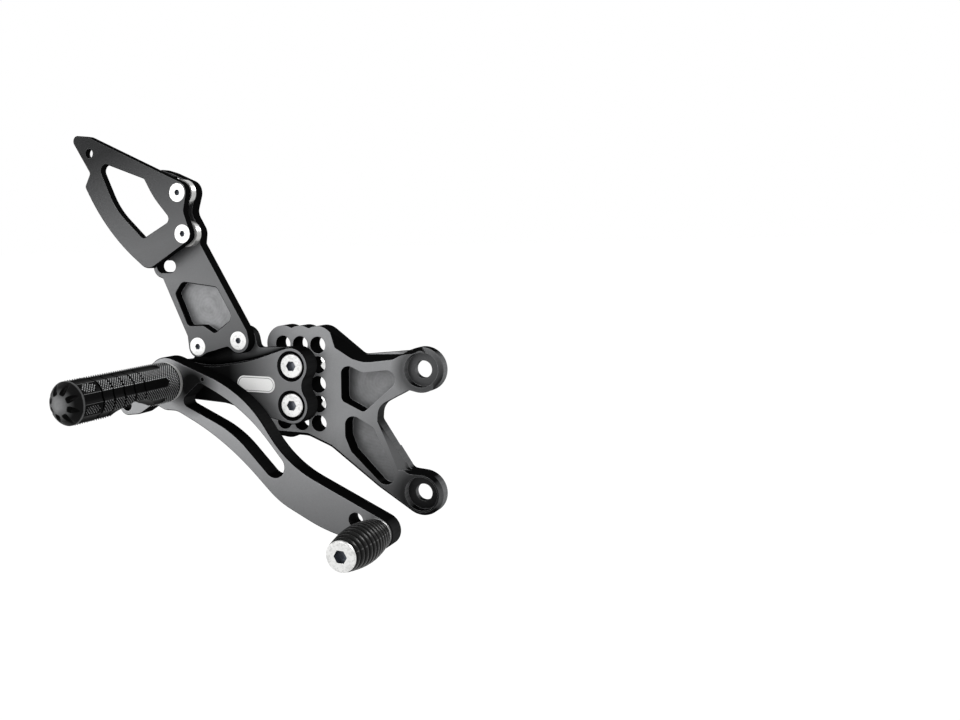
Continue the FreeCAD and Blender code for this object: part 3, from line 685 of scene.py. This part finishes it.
@dataclass
class Footpeg:
    """The knurled peg on the pivot, with its fluted end cap, in millimetres.

    Radii count from the axis and starts from the foot, which is foot beyond the frame face.
    edge_middle, edge_half and flute_rim are shares of a flute's half width, and scoop_sine is the
    sine of the turn below which the scoop cuts. The cap's dips begin at dip_entry and rise again
    from dip_exit, each a radius and a run. A painted highlight runs along each flute's edge,
    painted shade lies in the scoop, the grooves and the dips, and painted highlights lie on the
    cap's crown and rim.
    """

    x: float = PIVOT[0]
    z: float = PIVOT[1]
    foot: float = 37.1
    length: float = 77.0
    radius: float = 11.0
    knurl_turns: int = 40
    samples: int = 6
    plain: float = 0.2
    knurl_deep: float = 1.3
    proud: float = 0.5
    groove_start: float = 30.0
    groove_pitch: float = 8.4
    groove_count: int = 5
    groove_half: float = 0.5
    groove_deep: float = 0.95
    flute_count: int = 6
    flute_turn: float = 12.0
    flute_wide: float = 5.0
    flute_deep: float = 0.7
    flute_start: float = 10.0
    flute_rim: float = 1.08
    edge_middle: float = 1.03
    edge_half: float = 0.06
    edge_worn: float = 0.56
    foot_run: float = 1.0
    foot_step: float = 0.5
    bore: float = 5.0
    scoop_middle: float = 34.0
    scoop_deep: float = 6.7
    scoop_radius: float = 33.0
    scoop_sine: float = -0.05
    scoop_shaded_share: float = 0.5
    patch_middle: float = 71.4
    patch_half: tuple[float, float] = (2.6, 5.2)
    lit_heights: tuple[float, float, float, float] = (-2.0, 4.0, 9.6, 10.4)
    cap_columns: int = 300
    cap_rows: int = 90
    cap_edge: float = 0.35
    rim: float = 1.4
    rim_break: float = 0.4
    dome: float = 6.0
    dome_power: float = 2.6
    dip_count: int = 8
    dip_turn: float = 28.0
    dip_ball: float = 1.65
    dip_deep: float = 1.4
    dip_entry: Span = (4.9, 1.2)
    dip_exit: Span = (6.3, 4.0)
    dip_rise: float = 0.86
    dip_shade_depth: float = 0.5
    glint_fall: float = 0.65
    glint_reach: float = 9.0
    glint_power: float = 0.8
    rim_glints: Span = (0.5, 0.65)

    def _turned(self, radius: np.ndarray, turn: np.ndarray, depth: np.ndarray) -> np.ndarray:
        """Points at a radius and turn about the peg's axis, at a depth beyond its foot."""
        return MM * np.stack([self.x + radius * np.cos(turn), -(self.foot + depth) + 0 * turn,
                              self.z + radius * np.sin(turn)], axis=-1)

    def _off_middle(self, turn: np.ndarray, count: int, first: float) -> np.ndarray:
        """Turn counted from the nearest of several places spread evenly round the axis."""
        step = 2 * math.pi / count
        return (turn - math.radians(first) + step / 2) % step - step / 2

    def barrel(self) -> bpy.types.Object:
        """Barrel whose radius falls from its full size by four cuts.

        The knurl cuts crossed V grooves along both diagonals of turn and depth, so the radius
        falls by its depth times one minus the smaller of two triangle waves. Ring grooves fall
        by a narrow bell, flutes by a parabola across their width with a round end, and the
        scoop cuts every point that lies under a big cylinder across the peg. Beyond the last
        groove only an oval patch between each two flutes is knurled.
        """
        columns = self.knurl_turns * self.samples
        pitch = 2 * math.pi * self.radius / self.knurl_turns
        rows = round(self.length / pitch * self.samples)
        turn, depth = np.meshgrid(np.arange(columns) * 2 * math.pi / columns,
                                  np.linspace(0.0, self.length, rows + 1))
        spin = turn * self.knurl_turns / (2 * math.pi)
        along = depth / pitch
        tooth = np.minimum(wave(spin + along), wave(spin - along))
        half = self.flute_wide / 2
        offset = self._off_middle(turn, self.flute_count, self.flute_turn) * self.radius
        before_end = np.maximum(self.flute_start + half - depth, 0.0)
        side = np.hypot(offset, before_end) / half
        flute = np.clip(1.0 - side ** 2, 0.0, None)
        collar = depth > self.groove_start + (self.groove_count - 1) * self.groove_pitch
        between = math.pi / self.flute_count * self.radius - np.abs(offset)
        patch = np.hypot(between / self.patch_half[0],
                         (depth - self.patch_middle) / self.patch_half[1]) < 1.0
        smooth = (side < self.flute_rim) | (collar & ~patch) | (depth < self.foot_run)
        # crest paints shade in the knurl's valleys and glints on its teeth.
        crest = np.where(smooth, self.plain, tooth)
        cut = np.where(smooth, self.proud, (1.0 - tooth) * self.knurl_deep)
        # A painted highlight along each flute's edge.
        on_edge = np.abs(side - self.edge_middle) < self.edge_half
        crest = np.where(on_edge, self.edge_worn, crest)
        cut = cut + flute * self.flute_deep
        for ring in range(self.groove_count):
            gap = (depth - self.groove_start - ring * self.groove_pitch) / self.groove_half
            cut = np.maximum(cut, (self.proud + self.groove_deep) * np.exp(-gap ** 4))
            # Ring grooves are painted black, as shade.
            crest = np.where(np.abs(gap) < 1.1, 0.0, crest)
        radius = self.radius + self.proud - cut
        reach = np.clip(self.scoop_radius ** 2 - (depth - self.scoop_middle) ** 2, 0.0, None)
        level = np.sqrt(reach) - (self.radius - self.scoop_deep + self.scoop_radius)
        under = np.sin(turn) < self.scoop_sine
        limit = np.where(under, level / np.where(under, np.sin(turn), -1.0), np.inf)
        scooped = (limit > 0) & (level > -self.radius) & (limit < radius)
        radius = np.where(scooped, limit, radius)
        # Painted shadow in the scoop.
        crest = np.where(scooped, self.scoop_shaded_share * self.plain, crest)
        radius[0] -= self.foot_step
        wall = self._turned(radius, turn, depth)
        inner = self._turned(np.full_like(turn[:2], self.bore), turn[:2],
                             np.array([[self.length], [0.0]]) + 0 * turn[:2])
        crest = np.concatenate([crest, 0 * turn[:2]])
        piece = new_piece("knurled_barrel", np.concatenate([wall, inner]), True, crest)
        worn = np.empty(len(piece.data.vertices), dtype=np.float32)
        piece.data.attributes["crest"].data.foreach_get("value", worn)
        corners = np.empty(len(piece.data.loops), dtype=np.int32)
        piece.data.loops.foreach_get("vertex_index", corners)
        flat = worn[corners].reshape(-1, 4).max(axis=1) > self.plain + 0.01
        piece.data.polygons.foreach_set("use_smooth", ~flat)
        return piece

    def cap(self) -> bpy.types.Object:
        """Domed cap with ball-milled dips round its shoulder.

        The dome's depth falls from its crown as a power of the radius. A dip follows the path
        of a ball cutter that goes in steeply, runs outwards and comes out near the rim, so
        across the path its floor is a circular arc.
        """
        columns = self.cap_columns
        shares = np.linspace(1.0, 0.0, self.cap_rows)
        turn, out = np.meshgrid(np.arange(columns) * 2 * math.pi / columns,
                                shares * (self.radius - self.cap_edge))
        crown = self.rim + self.dome * (1.0 - (out / self.radius) ** self.dome_power)
        offset = self._off_middle(turn, self.dip_count, self.dip_turn) * out
        entry = np.sqrt(np.clip((out - self.dip_entry[0]) / self.dip_entry[1], 0.0, 1.0))
        leave = np.clip((out - self.dip_exit[0]) / self.dip_exit[1], 0.0, 1.0)
        run = self.dip_deep * entry * (1.0 - self.dip_rise * leave)
        ball = np.sqrt(np.clip(self.dip_ball ** 2 - offset ** 2, 0.0, None)) - self.dip_ball
        dip = np.clip(run + ball, 0.0, None)
        dome = self._turned(out, turn, self.length + crown - dip)
        edge_out = np.array([[self.radius - self.rim_break], [self.radius], [self.radius]])
        edge_deep = np.array([[0.0], [self.rim_break], [self.rim - 0.1]])
        edge = self._turned(edge_out + 0 * turn[:3], turn[:3],
                            self.length + edge_deep + 0 * turn[:3])
        back = self._turned(np.full((1, columns), 0.01), turn[:1], self.length + 0 * turn[:1])
        # Painted highlight on the crown, fading towards the rim.
        reach = np.clip(out / self.glint_reach, 0.0, 1.0)
        painted_glint = 1.0 - self.glint_fall * reach ** self.glint_power
        # Painted highlight on the rim's edge.
        low_rim, high_rim = self.rim_glints
        rims = np.array([[self.plain], [self.plain], [low_rim], [high_rim]]) + 0 * turn[:4]
        # Painted shade in the dips.
        undipped = 1.0 - np.clip(dip / self.dip_shade_depth, 0.0, 1.0)
        crest = np.concatenate([rims, painted_glint * undipped])
        return new_piece("fluted_end_cap", np.concatenate([back, edge, dome]), crest=crest)

    def build(self) -> None:
        """Makes both pieces and dresses them."""
        lit = tuple(MM * (self.z + height) for height in self.lit_heights)
        painted_glint = GlintedBlack("peg_painted_glints", 1.0, self.plain, kept=0.35, lit=lit).make()
        settle(self.barrel(), painted_glint, STAND, Slot.PEG, "footpeg_barrel")
        cap = self.cap()
        painted_glint = GlintedBlack("cap_painted_glints", 0.2, self.plain, roughness=0.36,
                               gloss=0.04).make()
        settle(cap, painted_glint, STAND, Slot.PEG, "footpeg_end_cap")
        cap.data.shade_smooth()


@dataclass
class ToePeg:
    """The ribbed rubber sleeve of the toe peg, in millimetres."""

    x: float = TOE[0]
    z: float = TOE[1]
    start: float = 36.0
    finish: float = 74.5
    ribs: int = 11
    per_rib: int = 16
    columns: int = 180
    rib_flat: float = 0.22
    end_radius: float = 7.9
    middle_radius: float = 10.15
    rib_deep: float = 1.15
    bore: float = 5.05
    seam_turn: float = 21.0
    seam_half: float = 0.3
    seam_high: float = 0.15
    plain: float = 0.5

    def rubber(self) -> bpy.types.Object:
        """Sleeve whose radius swells as a half sine and is nipped between flat-topped ribs.

        The mould's seam stands up as a narrow bell in the turn, only on the ribs.
        """
        turn, share = np.meshgrid(np.arange(self.columns) * 2 * math.pi / self.columns,
                                  np.linspace(0.0, 1.0, self.ribs * self.per_rib + 1))
        rib = np.abs(np.sin(math.pi * self.ribs * share)) ** self.rib_flat
        aside = (turn - math.radians(self.seam_turn)) * self.middle_radius / self.seam_half
        seam_and_glint = np.exp(-aside ** 2)
        swell = (self.middle_radius - self.end_radius) * np.sin(math.pi * share)
        radius = self.end_radius + swell - self.rib_deep * (1.0 - rib)
        radius = radius + self.seam_high * seam_and_glint * rib
        # crest carries painted shade between the ribs and a painted highlight on the seam.
        crest = (self.plain + (1.0 - self.plain) * seam_and_glint) * rib ** 4
        depth = self.start + share * (self.finish - self.start)
        bore = np.full_like(turn[:2], self.bore)
        far = np.array([[self.finish], [self.start]]) + 0 * turn[:2]
        radius, depth, turn, crest = (np.concatenate(pair) for pair in
                                      ((radius, bore), (depth, far), (turn, turn[:2]),
                                       (crest, 0.0 * bore)))
        points = MM * np.stack([self.x + radius * np.cos(turn), -depth,
                                self.z + radius * np.sin(turn)], axis=-1)
        return new_piece("ribbed_sleeve", points, True, crest)

    def build(self) -> None:
        """Makes the sleeve and dresses it."""
        sleeve = self.rubber()
        sleeve.data.shade_smooth()
        rubber = MouldedRubber("sleeve_rubber", self.plain).make()
        settle(sleeve, rubber, PEDAL, Slot.RUBBER, "toe_peg_rubber")


@dataclass
class NamePlate:
    """The bare white oblong plate on the face of the peg bracket, in millimetres."""

    x: float = -88.2
    z: float = 22.5
    face: float = 23.0
    half: float = 7.4
    radius: float = 4.4
    thick: float = 0.4
    columns: int = 96

    def plate(self) -> bpy.types.Object:
        """Thin plate: a straight run with two round ends, its rim rounded by a small step."""
        turn = np.arange(self.columns) * 2 * math.pi / self.columns
        shift = np.where(np.cos(turn) >= 0, self.half, -self.half)
        scale = np.array([1.0, 1.0, 0.96, 0.0])[:, None]
        rise = np.array([0.0, self.thick * 0.6, self.thick, self.thick])[:, None]
        inset = self.radius * scale
        x = self.x + np.where(scale > 0, shift + inset * np.cos(turn), 0.0)
        z = self.z + inset * np.sin(turn)
        y = -(self.face + rise) + 0 * turn
        points = MM * np.stack([x, y, z], axis=-1)
        bottom = points[:1].copy()
        bottom[..., 0], bottom[..., 2] = MM * self.x, MM * self.z
        return new_piece("name_plate", np.concatenate([bottom, points]))

    def build(self) -> None:
        """Makes the plate and dresses it."""
        centre = (self.x * MM, self.z * MM)
        enamel = Enamel("plate_enamel", centre, self.half * MM, self.radius * MM).make()
        settle(self.plate(), enamel, STAND, Slot.TURNED)


@dataclass(frozen=True)
class Head:
    """A socket head: its node, middle in X and Z, face beyond the frame face, and socket.

    All in millimetres, and socket is the radius round its hexagon.
    """

    node: str
    x: float
    z: float
    face: float
    socket: float


@dataclass
class Metalwork:
    """The CAD frame's own nodes, each with the finish of the real part, plus painted sheen, shade
    and highlights on the plates and painted shade in the sockets.
    """

    nodes: dict[str, bpy.types.Object]
    heads: tuple[Head, ...] = (
        Head("main_bolt_upper", -66.7, 33.0, 22.8, 3.0),
        Head("main_bolt_lower", -66.7, 12.0, 22.8, 3.0),
        Head("stay_screw_front", -97.0, 46.0, 26.0, 1.9),
        Head("stay_screw_rear", -123.6, 42.0, 26.0, 1.9),
        Head("guard_screw_upper", -128.1, 125.7, 34.0, 1.9),
        Head("guard_screw_lower", -125.6, 103.7, 34.0, 1.9),
        Head("peg_bolt", *PIVOT, 15.0, 3.0))
    core: Head = Head("toe_peg_core", *TOE, 76.0, 4.2)

    def dress(self, material: bpy.types.Material, *names: str) -> None:
        """Gives nodes a material."""
        for name in names:
            mesh = self.nodes[name].data
            mesh.materials.clear()
            mesh.materials.append(material)
            LOG.info("%s: %s", name, material.name)

    def turned(self, material: str, head: Head, **look: Any) -> None:
        """Dresses a head in turned metal, with painted shade in its socket."""
        metal = TurnedMetal(material, (head.x * MM, head.z * MM), face_y=-head.face * MM,
                            socket=head.socket * MM, **look)
        self.dress(metal.make(), head.node)

    def build(self) -> None:
        """Dresses every node that no piece made here stands for."""
        self.plates()
        self.fittings()

    def plates(self) -> None:
        """Dresses the black plates and the lever, with painted sheen, shade and edge highlights.
        """
        # Painted shade on the adapter's ears.
        ear_shade = tuple(PaintedShade(0.0, z, inner=0.0105, outer=0.0165, kept=0.35)
                     for z in (-0.032, 0.032))
        # Painted sheen on each plate's faces.
        adapter = PaintedSheen(0.23, (-0.03, 0.0), along_x=-2.6, along_z=2.4, low=0.05, high=0.275,
                        shade_patches=ear_shade)
        bracket = PaintedSheen(0.13, (-0.085, 0.02), along_x=6.0, low=0.008, high=0.19)
        stay = PaintedSheen(0.142, (-0.12, 0.078), fold=1.0, low=0.06)
        guard = PaintedSheen(0.062, (-0.155, 0.124), along_x=0.4, along_z=-1.3, low=0.02, high=0.1)
        # Painted shadow of the footpeg on the lever's face beside the hub.
        peg_shadow = PaintedShade(-0.122, 0.0215, inner=0.006, outer=0.018, kept=0.04)
        pedal = PaintedSheen(0.31, (-0.1, 0.0), along_z=3.4, low=0.12, high=0.31, shade_patches=(peg_shadow,))
        # side paints light on the walls that face forwards.
        self.dress(Anodised("adapter_black", adapter, floor_y=-2.0 * MM, floor=0.22,
                            cutter=(-0.024, 0.024), side=0.2, side_from=-0.021).make(),
                   "adapter_plate")
        # Painted shade along the foot of the bracket's step.
        step_shade = StepShade(level=-22.5 * MM, start=-0.092, foot=0.0354, slope=0.246, bow=3.26,
                      dark=0.0008, clear=0.0045)
        self.dress(Anodised("bracket_black", bracket, side=0.02, step_shade=step_shade).make(),
                   "peg_bracket")
        self.dress(Anodised("stay_black", stay, floor_y=-21.0 * MM, floor=0.23,
                            cutter=(-0.119, 0.064)).make(), "guard_stay")
        self.dress(Anodised("guard_black", guard).make(), "heel_guard")
        self.dress(Anodised("pedal_black", pedal, side=0.03).make(), "brake_pedal")

    def fittings(self) -> None:
        """Dresses the bright screws, nuts, rings and bushes."""
        for head in self.heads:
            self.turned("steel_" + head.node, head)
        axis = (PIVOT[0] * MM, PIVOT[1] * MM)
        plain = TurnedMetal("plain_steel", roughness=0.35).make()
        self.dress(plain, "main_nut_upper", "main_nut_lower", "pivot_sleeve",
                   "thrust_washer")
        bright = TurnedMetal("turned_aluminium", axis, metal=0.4, rings=1800.0).make()
        self.dress(bright, "peg_washer")
        ring = TurnedMetal("spacer_aluminium", colour=(0.5, 0.5, 0.49), metal=0.6).make()
        self.dress(ring, "guard_spacer_upper", "guard_spacer_lower")
        self.turned("turned_core", self.core, rings=2000.0)
        bronze = TurnedMetal("turned_bronze", axis, colour=(0.55, 0.36, 0.16)).make()
        self.dress(bronze, "pedal_bush_inner", "pedal_bush_outer")


@dataclass(frozen=True)
class Lamp:
    """A square soft light: its place and side in metres, and its power in watts."""

    name: str
    place: tuple[float, float, float]
    side: float
    power: float


@dataclass
class Studio:
    """White studio: camera, soft lights, floor and world. The eye is in millimetres."""

    azimuth: float = 0.537
    elevation: float = 0.128
    roll: float = -0.025
    eye: tuple[float, float, float] = (185.486, -465.254, 96.192)
    focal_px: float = 975.779
    width_px: int = 960
    height_px: int = 720
    centre_px: tuple[float, float] = (272.425, 371.253)
    sensor: float = 36.0
    near: float = 0.01
    aim: tuple[float, float, float] = (-0.09, -0.03, 0.03)
    lamps: tuple[Lamp, ...] = (Lamp("key", (-0.35, -0.95, 0.6), 0.5, 4.0),
                               Lamp("front_card", (-0.6, -0.88, -0.1), 0.6, 0.6),
                               Lamp("left_fill", (-0.75, -0.42, 0.12), 0.25, 1.6),
                               Lamp("back_card", (0.35, 0.73, 0.51), 0.25, 4.0))
    floor_z: float = -0.15
    floor_reach: float = 60.0
    floor_grey: float = 0.9
    glow: float = 1.07
    glow_share: float = 0.9
    soft_world: float = 0.45

    def camera(self) -> None:
        """Camera from its azimuth, elevation and roll, with the picture's off-centre frame."""
        look = Vector((-math.sin(self.azimuth) * math.cos(self.elevation),
                       math.cos(self.azimuth) * math.cos(self.elevation),
                       -math.sin(self.elevation)))
        level = Vector((math.cos(self.azimuth), math.sin(self.azimuth), 0.0))
        upright = level.cross(look)
        right = math.cos(self.roll) * level + math.sin(self.roll) * upright
        up = math.cos(self.roll) * upright - math.sin(self.roll) * level
        data = bpy.data.cameras.new("camera")
        data.sensor_width = self.sensor
        data.lens = self.focal_px * data.sensor_width / self.width_px
        data.shift_x = 0.5 - self.centre_px[0] / self.width_px
        data.shift_y = (self.centre_px[1] - self.height_px / 2) / self.width_px
        data.clip_start = self.near
        camera = bpy.data.objects.new("camera", data)
        turn = Matrix((right, up, -look)).transposed().to_4x4()
        camera.matrix_world = Matrix.Translation(Vector(self.eye) * MM) @ turn
        bpy.context.scene.collection.objects.link(camera)
        bpy.context.scene.camera = camera

    def light(self, lamp: Lamp) -> None:
        """Puts up a lamp that points at the aim."""
        data = bpy.data.lights.new(lamp.name, "AREA")
        data.size = lamp.side
        data.energy = lamp.power
        light = bpy.data.objects.new(lamp.name, data)
        light.location = lamp.place
        way = Vector(self.aim) - Vector(lamp.place)
        light.rotation_euler = way.to_track_quat("-Z", "Y").to_euler()
        bpy.context.scene.collection.objects.link(light)

    def floor(self) -> None:
        """Large white floor that glows to the camera, so only the shadow shows on it."""
        mesh = bpy.data.meshes.new("floor")
        reach = self.floor_reach
        mesh.from_pydata([(-reach, -reach, self.floor_z), (reach, -reach, self.floor_z),
                          (reach, reach, self.floor_z), (-reach, reach, self.floor_z)], [],
                         [(0, 1, 2, 3)])
        floor = bpy.data.objects.new("floor", mesh)
        bpy.context.scene.collection.objects.link(floor)
        paint = Paint("floor_white")
        rays = paint.node("ShaderNodeLightPath")
        camera, gloss, glass = (Value(paint, rays.outputs[f"Is {kind} Ray"])
                                for kind in ("Camera", "Glossy", "Transmission"))
        seen = paint.math("MAXIMUM", camera, paint.math("MAXIMUM", gloss, glass))
        glow = paint.node("ShaderNodeEmission", None, {"Color": WHITE, "Strength": self.glow})
        blend = paint.node("ShaderNodeMixShader", None, {0: seen * self.glow_share})
        paint.finish(Base_Color=(self.floor_grey,) * 3, Roughness=0.9)
        paint.tree.links.new(paint.shader.outputs[0], blend.inputs[1])
        paint.tree.links.new(glow.outputs[0], blend.inputs[2])
        paint.tree.links.new(blend.outputs[0],
                             paint.tree.nodes["Material Output"].inputs[0])
        mesh.materials.append(paint.material)

    def world(self) -> None:
        """White for the camera, gloss and glass, and a dimmer grey for soft light."""
        world = bpy.data.worlds.new("studio")
        world.use_nodes = True
        tree = world.node_tree
        back = tree.nodes["Background"]
        rays = tree.nodes.new("ShaderNodeLightPath")
        seen = tree.nodes.new("ShaderNodeMath")
        seen.operation = "MAXIMUM"
        tree.links.new(rays.outputs["Is Camera Ray"], seen.inputs[0])
        tree.links.new(rays.outputs["Is Glossy Ray"], seen.inputs[1])
        both = tree.nodes.new("ShaderNodeMath")
        both.operation = "MAXIMUM"
        tree.links.new(seen.outputs[0], both.inputs[0])
        tree.links.new(rays.outputs["Is Transmission Ray"], both.inputs[1])
        strength = tree.nodes.new("ShaderNodeMapRange")
        strength.inputs["To Min"].default_value = self.soft_world
        strength.inputs["To Max"].default_value = 1.0
        tree.links.new(both.outputs[0], strength.inputs["Value"])
        tree.links.new(strength.outputs[0], back.inputs["Strength"])
        back.inputs["Color"].default_value = (*WHITE, 1.0)
        bpy.context.scene.world = world

    def build(self) -> None:
        """Sets the studio up."""
        self.camera()
        for lamp in self.lamps:
            self.light(lamp)
        self.floor()
        self.world()
        view = bpy.context.scene.view_settings
        view.view_transform = "Standard"


def main() -> None:
    """Loads the frame and builds the pieces and the studio."""
    logging.basicConfig(level=logging.INFO, format="%(name)s %(message)s")
    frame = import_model()
    Metalwork(frame["nodes"]).build()
    Footpeg().build()
    ToePeg().build()
    NamePlate().build()
    Studio().build()


if __name__ == "__main__":
    main()
